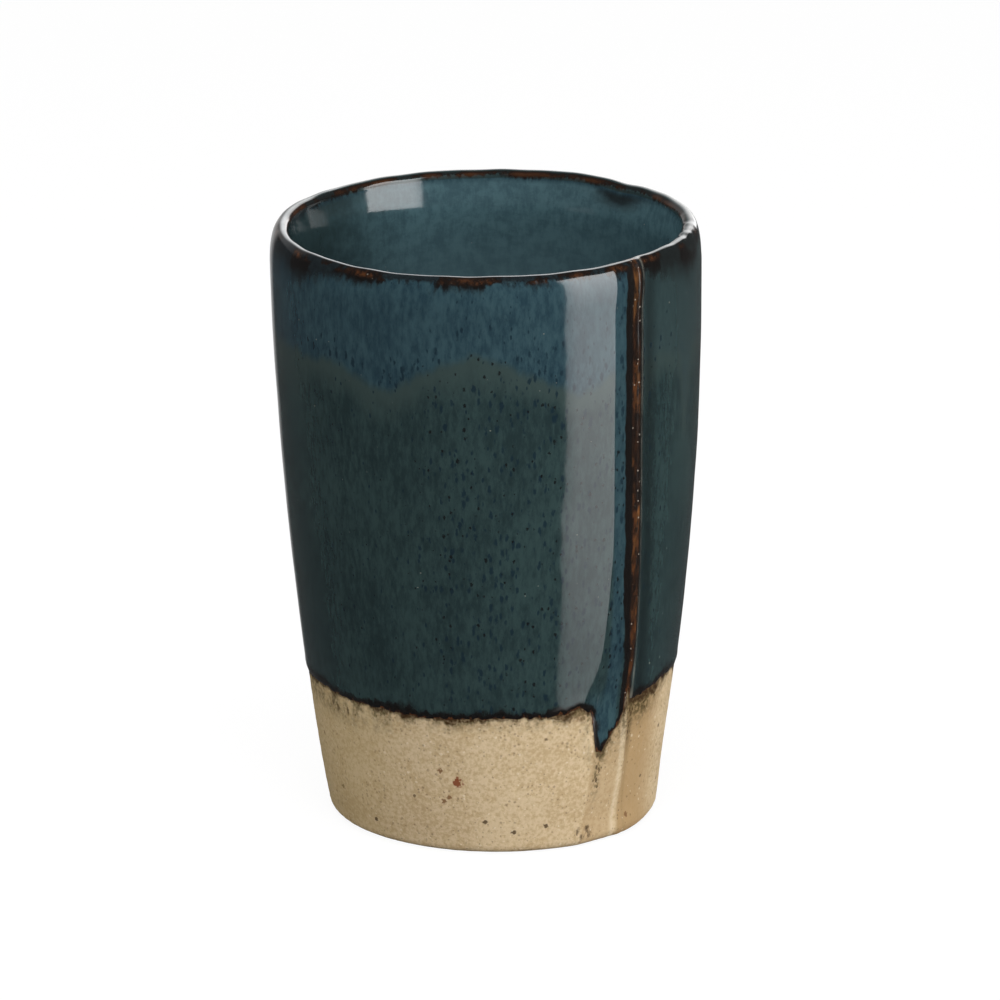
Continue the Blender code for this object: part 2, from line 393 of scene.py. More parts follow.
    def coat_depth(self, turn: Array, z: Array, above: Array) -> Array:
        """Thickness of the glaze outside.

        Args:
            turn: Angles to the left of the lap's edge.
            z: Heights above the foot.
            above: Heights above the glaze's lower edge.

        Returns:
            The thickness: thin on the lap's ridge, full beside it, with a bead along the edge.
        """
        arc = turn * self.mean_radius(z)
        ridge = bell(arc, self.ridge_offset, 0.7 * self.ridge_width)
        in_run = rising(self.glaze_height - z + above, 0.0, 1.5)
        fade = MM * (0.4 + 2.0 * in_run)
        full = self.coat * (1.0 - 0.45 * ridge) * (1.0 - np.exp(-above / fade))
        bead = self.bead * bell(above, 0.9 * MM, 0.7 * MM) * (1.0 - ridge) * (1.0 - in_run)
        return full + bead - 0.05 * MM * np.exp(-above / (0.05 * MM))

    def inside_radius(self, z: Array, azimuth: Array) -> Array:
        """Radius of the glazed inside wall.

        Args:
            z: Heights above the foot.
            azimuth: Directions from the cup's axis.

        Returns:
            The radius, which flares towards the lip as the wall thins, less so on the right.
        """
        below = np.maximum(self.height - self.lip_drop - z, 0.0)
        sharp = 6.0
        reach = self.flare_length
        thinning = self.flare_slope * below / (1.0 + (below / reach) ** sharp) ** (1.0 / sharp)
        wall = self.lip_wall + thinning + self.wall_growth * below / self.height
        aside = self.inside_shift * np.sin(azimuth) * rising(z, 55.0, 25.0)
        return self.mean_radius(z) - wall - aside

    def on_wall(self, degrees: float, height: float) -> Point:
        """One place on the outside.

        Args:
            degrees: Direction from the axis.
            height: Height above the foot in millimetres.

        Returns:
            The place as x, y, z in metres.
        """
        z = np.array([height * MM])
        turn = self.seam_at(z) - math.radians(degrees)
        return tuple(float(v) for v in self.place(turn, self.wall_radius(turn, z), z)[0])

    def place(self, turn: Array, radius: Array, z: Array) -> Array:
        """Points of the leaning cup.

        Args:
            turn: Angles to the left of the lap's edge.
            radius: Distances from the axis.
            z: Heights along the axis.

        Returns:
            The places as rows of x, y, z.
        """
        azimuth = self.seam_at(z) - turn
        x = radius * np.sin(azimuth)
        y = -radius * np.cos(azimuth)
        climb = z / self.height
        lean = self.top_lean * climb
        tilt = 2.0 * self.top_tilt * lean / self.height
        return np.stack([x - lean * climb, y, z + tilt * x], axis=1)


@dataclass
class TurnedPiece:
    """A piece of the cup that starts as a spun section and is then shaped by hand."""

    form: CupForm
    name: str = ""
    steps: int = 420
    crowding: float = 0.75
    hidden_map: float = 0.03

    def rows(self) -> List[Row]:
        """Rows of the section, in order round it."""
        raise NotImplementedError

    def section(self, row: Row, turn: Array) -> Tuple[Array, Array]:
        """Radius and height of one row.

        Args:
            row: The row of the section.
            turn: Angles to the left of the lap's edge.

        Returns:
            The radius and the height at each angle.
        """
        raise NotImplementedError

    def marks(self, row: Row, turn: Array, z: Array) -> Dict[str, Array]:
        """What the finish needs to know about one row.

        Args:
            row: The row of the section.
            turn: Angles to the left of the lap's edge.
            z: Heights of the row.

        Returns:
            Named distances in millimetres.
        """
        raise NotImplementedError

    def unevenness(self, points: Array, row_zone: Sequence[Zone]) -> Array:
        """How far the hand's unevenness moves each point along its radius; none unless a piece has its own.

        Args:
            points: Places as rows of x, y, z.
            row_zone: The stretch of the section that each point lies on.

        Returns:
            One distance for each point.
        """
        return np.zeros(len(points))

    def outline(self) -> List[Place]:
        """Radius and height of every row on the side away from the lap."""
        far_side = np.array([math.pi])
        return [tuple(float(v[0]) for v in self.section(row, far_side)) for row in self.rows()]

    def turned_blank(self) -> bpy.types.Object:
        """Draws the section point by point and spins it round the axis.

        Returns:
            The closed blank, whose points carry the number of their row.
        """
        outline = self.outline()
        bpy.ops.object.select_all(action="DESELECT")
        bpy.ops.mesh.primitive_plane_add(size=MM, enter_editmode=True)
        blank = bpy.context.object
        blank.name = self.name
        blank.data.name = self.name
        bpy.ops.mesh.select_all(action="SELECT")
        bpy.ops.mesh.merge(type="CENTER")
        bpy.ops.object.mode_set(mode="OBJECT")
        bpy.ops.object.mode_set(mode="EDIT")
        bpy.ops.transform.translate(value=(outline[0][0], 0.0, outline[0][1]))
        for (r0, z0), (r1, z1) in zip(outline, outline[1:]):
            bpy.ops.mesh.extrude_vertices_move(TRANSFORM_OT_translate={"value": (r1 - r0, 0.0, z1 - z0)})
        bpy.ops.object.mode_set(mode="OBJECT")
        numbers = blank.data.attributes.new("row", "INT", "POINT")
        numbers.data.foreach_set("value", np.arange(len(outline), dtype=np.int32))
        bpy.ops.object.mode_set(mode="EDIT")
        bpy.ops.mesh.select_all(action="SELECT")
        bpy.ops.mesh.spin(steps=self.steps, angle=2.0 * math.pi, use_auto_merge=True,
                          center=(0.0, 0.0, 0.0), axis=(0.0, 0.0, 1.0))
        bpy.ops.mesh.select_all(action="SELECT")
        bpy.ops.mesh.remove_doubles(threshold=0.002 * MM)
        bpy.ops.mesh.delete_loose()
        bpy.ops.object.mode_set(mode="OBJECT")
        return blank

    def shape(self, piece: bpy.types.Object) -> None:
        """Moves every point of the blank to its handmade place and notes the finish's distances.

        Args:
            piece: The spun blank.
        """
        mesh = piece.data
        count = len(mesh.vertices)
        flat = np.empty(count * 3)
        mesh.vertices.foreach_get("co", flat)
        blank = flat.reshape(-1, 3)
        numbers = np.empty(count, dtype=np.int32)
        mesh.attributes["row"].data.foreach_get("value", numbers)
        even = np.mod(np.arctan2(blank[:, 1], blank[:, 0]), 2.0 * math.pi)
        station = np.round(even * self.steps / (2.0 * math.pi)).astype(int) % self.steps
        even = np.mod(station * 2.0 * math.pi / self.steps + math.pi, 2.0 * math.pi) - math.pi
        turn = even - self.crowding * np.sin(even)
        placed = np.zeros_like(blank)
        noted: Dict[str, Array] = {}
        zones: List[Zone] = [Zone.OUTSIDE] * count
        for number, row in enumerate(self.rows()):
            mine = np.flatnonzero(numbers == number)
            if len(mine) == 0:
                continue
            radius, z = self.section(row, turn[mine])
            placed[mine] = self.form.place(turn[mine], radius, z)
            for title, distances in self.marks(row, turn[mine], z).items():
                noted.setdefault(title, np.zeros(count))[mine] = distances
            for index in mine:
                zones[index] = row.zone
        outward = placed * np.array([1.0, 1.0, 0.0])
        outward /= np.maximum(np.linalg.norm(outward, axis=1, keepdims=True), MM)
        placed += outward * self.unevenness(placed, zones)[:, None]
        mesh.vertices.foreach_set("co", placed.reshape(-1))
        for title, distances in noted.items():
            store = mesh.attributes.new(title, "FLOAT", "POINT")
            store.data.foreach_set("value", distances.astype(np.float32))
        self.unroll(mesh, numbers, station)
        mesh.attributes.remove(mesh.attributes["row"])
        mesh.update()

    def unroll(self, mesh: bpy.types.Mesh, numbers: Array, station: Array) -> None:
        """Lays the surface flat in a map, one column for each step round the cup.

        Args:
            mesh: The shaped mesh.
            numbers: The row of each point.
            station: The step round the cup of each point.
        """
        paths = np.linalg.norm(np.diff(np.array(self.outline()), axis=0), axis=1)
        hidden = np.array([row.depth > 0.0 for row in self.rows()])
        paths *= np.where(hidden[1:], self.hidden_map, 1.0)
        along = np.concatenate([[0.0], np.cumsum(paths)])
        along /= along[-1]
        corners = np.empty(len(mesh.loops), dtype=np.int32)
        mesh.loops.foreach_get("vertex_index", corners)
        starts = np.empty(len(mesh.polygons), dtype=np.int32)
        totals = np.empty(len(mesh.polygons), dtype=np.int32)
        mesh.polygons.foreach_get("loop_start", starts)
        mesh.polygons.foreach_get("loop_total", totals)
        face = np.repeat(np.arange(len(totals)), totals)
        column = station[corners].astype(float)
        last = np.zeros(len(totals))
        np.maximum.at(last, face, column)
        column = np.where((column == 0.0) & (last[face] == self.steps - 1), self.steps, column)
        level = along[numbers[corners]]
        top = np.zeros(len(totals))
        np.maximum.at(top, face, level)
        closing = (numbers[corners] == 0) & (top[face] > 0.5)
        level = np.where(closing, 1.0, level)
        flat = np.stack([column / self.steps, level], axis=1)
        layer = mesh.uv_layers.new(name="OFBake")
        layer.data.foreach_set("uv", flat.astype(np.float32).reshape(-1))

    def build(self) -> bpy.types.Object:
        """Makes the piece.

        Returns:
            The finished object, smooth shaded, at the origin.
        """
        piece = self.turned_blank()
        self.shape(piece)
        bpy.ops.object.mode_set(mode="EDIT")
        bpy.ops.mesh.select_all(action="SELECT")
        bpy.ops.mesh.normals_make_consistent(inside=False)
        bpy.ops.object.mode_set(mode="OBJECT")
        bpy.ops.object.shade_smooth()
        LOG.info("%s: %d faces", piece.name, len(piece.data.polygons))
        return piece

    def dress(self, piece: bpy.types.Object, finish: bpy.types.Material, slot: str,
              nodes: Sequence[str]) -> None:
        """Gives the piece its finish and its place in the part.

        Args:
            piece: The finished object.
            finish: Its material.
            slot: The record's material slot, which is not used.
            nodes: The solids that the piece stands for.
        """
        piece.data.materials.clear()
        piece.data.materials.append(finish)
        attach(piece, "root")
        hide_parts(*nodes)


@dataclass
class GlazeSkin(TurnedPiece):
    """All the glaze of the cup as one closed skin."""

    name: str = "glaze_skin"
    edge_heights: Tuple[float, ...] = (0.0, 0.07, 0.16, 0.28, 0.42, 0.6, 0.85, 1.15, 1.55, 2.1, 2.8, 3.6)
    wall_from: float = 4.5
    wall_rows: int = 58
    inside_crowding: float = 1.6
    shoulder_rows: int = 18
    lip_rows: int = 12
    inside_rows: int = 46
    heel_rows: int = 8
    floor_rows: int = 9
    unseen_depth: float = 0.22 * MM
    wall_hand: float = 0.024 * MM
    inside_hand: float = 0.05 * MM

    def rows(self) -> List[Row]:
        """Rows up the outside, over the lip, down to the floor's centre and back underneath.

        Returns:
            The rows in order round the section.
        """
        span = (self.form.belly_height - self.form.glaze_height) / MM
        edge = [height / span for height in self.edge_heights]
        wall = list(np.linspace(self.wall_from / span, 1.0, self.wall_rows))
        inside = even_rows(Zone.INSIDE, self.inside_rows)
        seen = rows_at(Zone.OUTSIDE, edge + wall)
        seen += even_rows(Zone.SHOULDER, self.shoulder_rows)
        seen += even_rows(Zone.LIP, self.lip_rows)
        seen += [Row(Zone.INSIDE, row.share ** self.inside_crowding) for row in inside]
        seen += even_rows(Zone.HEEL, self.heel_rows)
        seen += even_rows(Zone.FLOOR, self.floor_rows)
        deep = self.unseen_depth
        unseen = rows_at(Zone.FLOOR, (1.0, 0.5, 0.0), deep)
        unseen += rows_at(Zone.HEEL, (0.7, 0.35, 0.0), deep)
        unseen += rows_at(Zone.INSIDE, (0.8, 0.5, 0.25, 0.1, 0.03, 0.0), deep)
        unseen += rows_at(Zone.LIP, (0.75, 0.5, 0.25), deep)
        unseen += rows_at(Zone.SHOULDER, (1.0, 0.8, 0.6, 0.4, 0.2), deep)
        unseen += rows_at(Zone.OUTSIDE, (1.0, 0.8, 0.6, 0.4, 0.2, 0.06), deep)
        return seen + unseen + [Row(Zone.OUTSIDE, 0.0)]

    def section(self, row: Row, turn: Array) -> Tuple[Array, Array]:
        """Radius and height of one row of the glaze.

        Args:
            row: The row of the section.
            turn: Angles to the left of the lap's edge.

        Returns:
            The radius and the height at each angle.
        """
        form = self.form
        flat = np.zeros_like(turn)
        if row.zone is Zone.OUTSIDE:
            line = form.glaze_line(form.edge_azimuth(turn))
            z = line + row.share * (form.belly_height - line)
            above = form.from_line(form.edge_azimuth(turn), z)
            radius = form.wall_radius(turn, z) + form.coat_depth(turn, z, np.abs(above))
            return radius - row.depth, z
        angle = row.angle
        azimuth = form.rim_azimuth(turn)
        wobble = form.lip_wobble(azimuth)
        if row.zone is Zone.SHOULDER:
            radius, crest = self.crest(turn, angle, wobble)
            return radius - row.depth * math.cos(angle), crest - row.depth * math.sin(angle)
        rim, crest = self.crest(turn, math.pi / 2.0, wobble)
        inner_top = form.height - form.lip_drop
        if row.zone is Zone.LIP:
            inner = form.inside_radius(flat + inner_top, azimuth)
            radius = rim - (rim - inner) * math.sin(angle) + row.depth * math.sin(angle)
            drop = (form.lip_drop + row.depth) * (1.0 - math.cos(angle))
            return radius, crest - drop - row.depth * math.cos(angle)
        heel_top = form.floor_top + form.heel_round
        if row.zone is Zone.INSIDE:
            fade = max(0.0, 1.0 - 4.0 * row.share)
            z = inner_top + wobble * fade - row.share * (inner_top + wobble * fade - heel_top)
            return form.inside_radius(z, azimuth) + row.depth, z
        wall = form.inside_radius(flat + heel_top, azimuth)
        if row.zone is Zone.HEEL:
            radius = wall - form.heel_round * (1.0 - math.cos(angle)) + row.depth * math.cos(angle)
            return radius, heel_top - (form.heel_round + row.depth) * math.sin(angle) + flat
        return (wall - form.heel_round) * (1.0 - row.share), flat + form.floor_top - row.depth

    def crest(self, turn: Array, angle: float, wobble: Array) -> Tuple[Array, Array]:
        """Radius and height on the outer half of the lip.

        Args:
            turn: Angles to the left of the lap's edge.
            angle: How far over the lip, from 0 at the belly to a quarter turn at the top.
            wobble: Unevenness of the lip's height at each angle.

        Returns:
            The radius and the height at each angle.
        """
        form = self.form
        belly = np.zeros_like(turn) + form.belly_height
        over = math.sin(angle) ** (2.0 / form.lip_square)
        level = max(math.cos(angle), 0.0) ** (2.0 / form.lip_square)
        worked = 1.0 - form.lip_worked * over * over
        radius = form.mean_radius(belly) + worked * form.relief(turn, belly)
        radius += form.coat_depth(turn, belly, belly)
        radius -= form.lip_inset * (1.0 - level)
        return radius, belly + (form.height - form.belly_height) * over + wobble * over * over

    def marks(self, row: Row, turn: Array, z: Array) -> Dict[str, Array]:
        """Distances in millimetres from the glaze's edges, the lap and the lip.

        Args:
            row: The row of the section.
            turn: Angles to the left of the lap's edge.
            z: Heights of the row.

        Returns:
            The distances by the names that the finish reads.
        """
        form = self.form
        far = np.full_like(turn, FAR)
        azimuth = form.seam_at(z) - turn
        crest = form.height + form.lip_wobble(form.rim_azimuth(turn))
        outer = row.zone in (Zone.OUTSIDE, Zone.SHOULDER)
        near_lap = outer or row.zone is Zone.LIP
        above = far
        if row.zone is Zone.OUTSIDE:
            above = form.from_line(form.edge_azimuth(turn), z) / MM
        return {
            "above_line": above,
            "above_dip": (z - form.dip_line(azimuth)) / MM if outer else far,
            "from_ridge": form.from_ridge(turn, z) / MM if near_lap else far,
            "from_lip": (crest - z) / MM if outer else (z - crest) / MM,
            "lip_burn": form.lip_burn(azimuth, outer) / MM,
        }

    def unevenness(self, points: Array, row_zone: Sequence[Zone]) -> Array:
        """Faint waves of the glaze's surface.

        Args:
            points: Places as rows of x, y, z.
            row_zone: The stretch of the section that each point lies on.

        Returns:
            One distance along the radius for each point.
        """
        inside = np.array([zone in (Zone.INSIDE, Zone.HEEL) for zone in row_zone])
        outside = np.array([zone is Zone.OUTSIDE for zone in row_zone])
        wave = Ripples(3, 14.0 * MM).at(points)
        broad = Ripples(4, 45.0 * MM).at(points)
        close = Ripples(5, 5.0 * MM).at(points)
        amount = self.wall_hand * (wave + 1.5 * broad + 0.25 * close)
        worn = rising(self.form.height - points[:, 2], 0.0, 6.0)
        return amount * outside * worn + self.inside_hand * broad * inside * worn


@dataclass
class StonewareWall(TurnedPiece):
    """The slab that is bent round and lapped: bare below the glaze, hidden behind it above."""

    name: str = "stoneware_wall"
    foot_rows: int = 8
    bare_rows: int = 46
    bare_top: float = 26.5 * MM
    under_glaze: float = 0.14 * MM
    cover_reach: float = 0.6
    below_lip: float = 1.6 * MM
    behind_liner: float = 0.4 * MM
    edge_bevel: float = 0.4 * MM
    joint_lift: float = 0.25 * MM
    grain: float = 0.022 * MM

    def rows(self) -> List[Row]:
        """Rows from the ring it stands on, up the outside and back down behind the glaze inside.

        Returns:
            The rows in order round the section.
        """
        seen = rows_at(Zone.RING, (0.0, 0.12, 0.4, 0.7))
        seen += [Row(Zone.FOOT, 0.0)] + even_rows(Zone.FOOT, self.foot_rows)
        seen += even_rows(Zone.OUTSIDE, self.bare_rows)
        deep = self.under_glaze
        unseen = rows_at(Zone.SHOULDER, (0.25, 0.5, 0.75, 1.0), deep)
        unseen += rows_at(Zone.INSIDE, (0.0, 0.1, 0.25, 0.4, 0.55, 0.7, 0.85, 1.0), deep)
        return seen + unseen + rows_at(Zone.EDGE, (0.0, 1.0)) + [Row(Zone.RING, 0.0)]

    def section(self, row: Row, turn: Array) -> Tuple[Array, Array]:
        """Radius and height of one row of the clay.

        Args:
            row: The row of the section.
            turn: Angles to the left of the lap's edge.

        Returns:
            The radius and the height at each angle.
        """
        form = self.form
        flat = np.zeros_like(turn)
        foot_top = flat + form.foot_round
        side = form.wall_radius(turn, foot_top)
        if row.zone is Zone.RING:
            reach = side - form.foot_round
            radius = form.ring_inside + (reach - form.ring_inside) * row.share
            lift = self.joint_lift if row.share == 0.0 else 0.0
            return radius, flat + lift
        if row.zone is Zone.FOOT:
            radius = side - form.foot_round * (1.0 - math.sin(row.angle))
            return radius, flat + form.foot_round * (1.0 - math.cos(row.angle))
        if row.zone is Zone.OUTSIDE:
            z = foot_top + row.share * (self.bare_top - form.foot_round)
            covered = rising(form.from_line(form.edge_azimuth(turn), z), 0.0, self.cover_reach)
            return form.wall_radius(turn, z) - self.under_glaze * covered, z
        top = form.height - self.below_lip
        if row.zone is Zone.SHOULDER:
            z = flat + self.bare_top + row.share * (top - self.bare_top)
            tuck = form.lip_inset * rising(z, 72.0, 12.0)
            worked = 1.0 - form.lip_worked * rising(z, 76.0, 8.0)
            radius = form.mean_radius(z) + worked * form.relief(turn, z)
            return radius - row.depth - tuck, z
        low = form.floor_top - 0.05 * MM
        if row.zone is Zone.EDGE:
            drop = row.share * (low - 2.0 * self.edge_bevel)
            return flat + form.ring_inside, low - self.edge_bevel - drop + flat
        z = flat + top - row.share * (top - low)
        return form.inside_radius(z, form.rim_azimuth(turn)) + self.behind_liner, z

    def marks(self, row: Row, turn: Array, z: Array) -> Dict[str, Array]:
        """Distances in millimetres below the glaze's edge, from the lap and above the foot.

        Args:
            row: The row of the section.
            turn: Angles to the left of the lap's edge.
            z: Heights of the row.

        Returns:
            The distances by the names that the finish reads.
        """
        form = self.form
        return {
            "below_line": -form.from_line(form.edge_azimuth(turn), z) / MM,
            "from_ridge": form.from_ridge(turn, z) / MM,
            "up_wall": z / MM,
        }

    def unevenness(self, points: Array, row_zone: Sequence[Zone]) -> Array:
        """Sandy roughness of the bare clay.

        Args:
            points: Places as rows of x, y, z.
            row_zone: The stretch of the section that each point lies on.

        Returns:
            One distance along the radius for each point.
        """
        bare = np.array([zone in (Zone.OUTSIDE, Zone.FOOT) for zone in row_zone])
        fine = Ripples(11, 1.5 * MM, 40).at(points)
        broad = Ripples(12, 11.0 * MM).at(points)
        return self.grain * bare * (fine + 1.2 * broad)


@dataclass
class StonewareFloor(TurnedPiece):
    """The disc luted into the foot, seen underneath with the joint round it."""

    name: str = "stoneware_floor"
    steps: int = 240
    crowding: float = 0.0
    joint: float = 0.03 * MM
    edge_round: float = 0.22 * MM
    rise: float = 0.3 * MM
    top: float = 4.9 * MM
    face_rows: int = 16
    clear: float = 0.05 * MM

    def rows(self) -> List[Row]:
        """Rows from the centre of the underside to its edge and over the hidden top.

        Returns:
            The rows in order round the section.
        """
        seen = [Row(Zone.FLOOR, 0.0)] + even_rows(Zone.FLOOR, self.face_rows)
        seen += rows_at(Zone.EDGE, (0.3, 0.6, 1.0))
        return seen + rows_at(Zone.RING, (0.0, 0.3, 0.7, 1.0), MM)

    def section(self, row: Row, turn: Array) -> Tuple[Array, Array]:
        """Radius and height of one row of the floor.

        Args:
            row: The row of the section.
            turn: Angles to the left of the lap's edge.

        Returns:
            The radius and the height at each angle.
        """
        flat = np.zeros_like(turn)
        side = self.form.ring_inside - self.joint
        face = side - self.edge_round
        if row.zone is Zone.FLOOR:
            lift = self.rise * (1.0 - row.share ** 4)
            return flat + face * row.share, flat + self.clear + lift
        if row.zone is Zone.EDGE:
            radius = face + self.edge_round * math.sin(row.angle)
            return flat + radius, flat + self.clear + self.edge_round * (1.0 - math.cos(row.angle))
        return flat + side * (1.0 - row.share), flat + self.top

    def marks(self, row: Row, turn: Array, z: Array) -> Dict[str, Array]:
        """The finish's distances, all far from glaze and lap."""
        far = np.full_like(turn, FAR)
        return {"below_line": far, "from_ridge": far, "up_wall": z / MM - 1.0}


class Calc(Enum):
    """Sums that a finish uses."""

    ADD = "ADD"
    TAKE = "SUBTRACT"
    TIMES = "MULTIPLY"
    MORE = "MAXIMUM"
    SIZE = "ABSOLUTE"


@dataclass(frozen=True, eq=False)
class Tone:
    """A number that varies over a surface, so that sums with it read as plain arithmetic."""

    sheet: "Sheet"
    socket: bpy.types.NodeSocket

    def __add__(self, other: "Value") -> "Tone":
        """This number and the other."""
        return self.sheet.sum(Calc.ADD, self, other)

    def __radd__(self, other: float) -> "Tone":
        """The other number and this one."""
        return self.sheet.sum(Calc.ADD, other, self)

    def __sub__(self, other: "Value") -> "Tone":
        """This number less the other."""
        return self.sheet.sum(Calc.TAKE, self, other)

    def __rsub__(self, other: float) -> "Tone":
        """The other number less this one."""
        return self.sheet.sum(Calc.TAKE, other, self)

    def __mul__(self, other: "Value") -> "Tone":
        """This number times the other."""
        return self.sheet.sum(Calc.TIMES, self, other)

    def __abs__(self) -> "Tone":
        """This number without its sign."""
        return self.sheet.sum(Calc.SIZE, self, 0.0)

    def more(self, other: "Value") -> "Tone":
        """The larger of the two numbers."""
        return self.sheet.sum(Calc.MORE, self, other)

    def step(self, start: "Value", end: "Value") -> "Tone":
        """Smooth step, also downwards where the end is the lower one.

        Args:
            start: Where it is 0.
            end: Where it is 1.

        Returns:
            The step.
        """
        node = self.sheet.add("MapRange")
        node.interpolation_type = "SMOOTHSTEP"
        self.sheet.fill(node, {"Value": self, "From Min": start, "From Max": end})
        return Tone(self.sheet, node.outputs["Result"])

    def near(self, centre: "Value", width: "Value") -> "Tone":
        """Smooth hump that is 1 at the centre and 0 from its width on."""
        return abs(self - centre).step(width, 0.0)


Value = Union[float, Tone]
Paint = Union[Colour, bpy.types.NodeSocket]
Marks = Dict[str, Tone]
Filling = Dict[Union[int, str], Any]


class Sheet:
    """The node sheet of a finish or of the room, with short ways to lay it out."""

    def __init__(self, owner: Union[bpy.types.Material, bpy.types.World], space: str = "Object") -> None:
        """Opens the sheet.

        Args:
            owner: The material or world.
            space: The coordinates that its patterns follow.
        """
        owner.use_nodes = True
        self.owner = owner
        self.tree = owner.node_tree
        self.where = self.add("TexCoord").outputs[space]
        split = self.add("SeparateXYZ", {"Vector": self.where})
        self.x, self.y, self.z = (Tone(self, socket) for socket in split.outputs)

    def add(self, kind: str, values: Optional[Filling] = None) -> bpy.types.Node:
        """Adds a node.

        Args:
            kind: Its type.
            values: What its sockets are filled with.

        Returns:
            The node.
        """
        node = self.tree.nodes.new("ShaderNode" + kind)
        self.fill(node, values or {})
        return node

    def fill(self, node: bpy.types.Node, values: Filling) -> None:
        """Sets a node's sockets or links them.

        Args:
            node: The node.
            values: Numbers, vectors, colours, tones or sockets by the names of its sockets.
        """
        for name, value in values.items():
            socket = node.inputs[name]
            if isinstance(value, Tone):
                self.tree.links.new(value.socket, socket)
            elif isinstance(value, bpy.types.NodeSocket):
                self.tree.links.new(value, socket)
            elif isinstance(value, tuple) and len(socket.default_value) > len(value):
                socket.default_value = (*value, 1.0)
            else:
                socket.default_value = value

    def mark(self, name: str) -> Tone:
        """A distance that the piece carries.

        Args:
            name: The attribute's name.

        Returns:
            Its value.
        """
        node = self.add("Attribute")
        node.attribute_name = name
        return Tone(self, node.outputs["Fac"])

    def stretched(self, tall: float = 1.0, shift: Point = (0.0, 0.0, 0.0)) -> bpy.types.NodeSocket:
        """Coordinates scaled along the height, which draws a pattern out where below 1, and shifted."""
        values = {"Vector": self.where, "Scale": (1.0, 1.0, tall), "Location": shift}
        return self.add("Mapping", values).outputs["Vector"]

    def noise(self, size: float, where: bpy.types.NodeSocket, detail: float = 3.0,
              rough: float = 0.55) -> Tone:
        """Cloudy noise of about 0.5 on the mean.

        Args:
            size: Size of a cloud in metres.
            where: The coordinates it is read at.
            detail: Number of finer layers.
            rough: Strength of the finer layers.

        Returns:
            The noise.
        """
        values = {"Vector": where, "Scale": 1.0 / size, "Detail": detail, "Roughness": rough}
        return Tone(self, self.add("TexNoise", values).outputs["Fac"])

    def sum(self, kind: Calc, first: Value, second: Value) -> Tone:
        """One sum.

        Args:
            kind: Which sum.
            first: Its first number.
            second: Its second number.

        Returns:
            The result.
        """
        node = self.add("Math")
        node.operation = kind.value
        self.fill(node, {0: first, 1: second})
        return Tone(self, node.outputs["Value"])

    def mix(self, share: Value, below: Paint, above: Paint) -> bpy.types.NodeSocket:
        """One colour laid over another.

        Args:
            share: How much of the upper colour shows.
            below: The lower colour.
            above: The upper colour.

        Returns:
            The mixed colour.
        """
        node = self.add("Mix")
        node.data_type = "RGBA"
        self.fill(node, {"Factor": share, "A": below, "B": above})
        return node.outputs["Result"]

    def scatter(self, size: float, radius: float, where: bpy.types.NodeSocket, amount: Value = 1.0,
                soft: float = 0.35) -> Tone:
        """Ragged spots of mixed sizes.

        Args:
            size: Mean distance between their centres in metres.
            radius: Radius of the largest as a share of size.
            where: The coordinates they are read at.
            amount: Further scale of the radius, so that they thin out.
            soft: Share of the radius over which a spot fades.

        Returns:
            1 inside the spots and 0 outside.
        """
        cells = self.add("TexVoronoi", {"Vector": where, "Scale": 1.0 / size})
        luck = Tone(self, self.add("SeparateColor", {"Color": cells.outputs["Color"]}).outputs["Red"])
        reach = luck * radius * amount
        ragged = self.noise(0.6 * size * radius, where, 2.0) - 0.5
        away = Tone(self, cells.outputs["Distance"]) + ragged * (reach * 1.6)
        return away.step(reach + 0.0001, reach * (1.0 - soft))

    def spot(self, place: Point, radius: float, tall: float = 1.0, soft: float = 0.4,
             ragged: float = 2.4) -> Tone:
        """One ragged spot.

        Args:
            place: Its centre in metres.
            radius: Its radius across.
            tall: Its height as a share of its width.
            soft: Share of the radius over which it fades.
            ragged: How uneven its edge is.

        Returns:
            1 inside the spot and 0 outside.
        """
        where = self.stretched(1.0 / tall)
        node = self.add("VectorMath")
        node.operation = "DISTANCE"
        self.fill(node, {0: where, 1: (place[0], place[1], place[2] / tall)})
        cloud = self.noise(0.8 * radius, where, 3.0) - 0.5
        away = Tone(self, node.outputs["Value"]) + cloud * (ragged * radius)
        return away.step(1.05 * radius, (1.0 - soft) * radius)

    def finish(self, colour: Paint, rough: Value) -> bpy.types.Material:
        """Gives the shader its colour and roughness, and hands out the material."""
        self.fill(self.tree.nodes["Principled BSDF"], {"Base Color": colour, "Roughness": rough})
        return self.owner

    def bump(self, height: Tone, distance: float, strength: float) -> None:
        """Gives the shader a fine relief.

        Args:
            height: The relief's height.
            distance: What a height of 1 stands for in metres.
            strength: How much of it shows.
        """
        node = self.add("Bump", {"Height": height, "Distance": distance, "Strength": strength})
        self.fill(self.tree.nodes["Principled BSDF"], {"Normal": node.outputs["Normal"]})


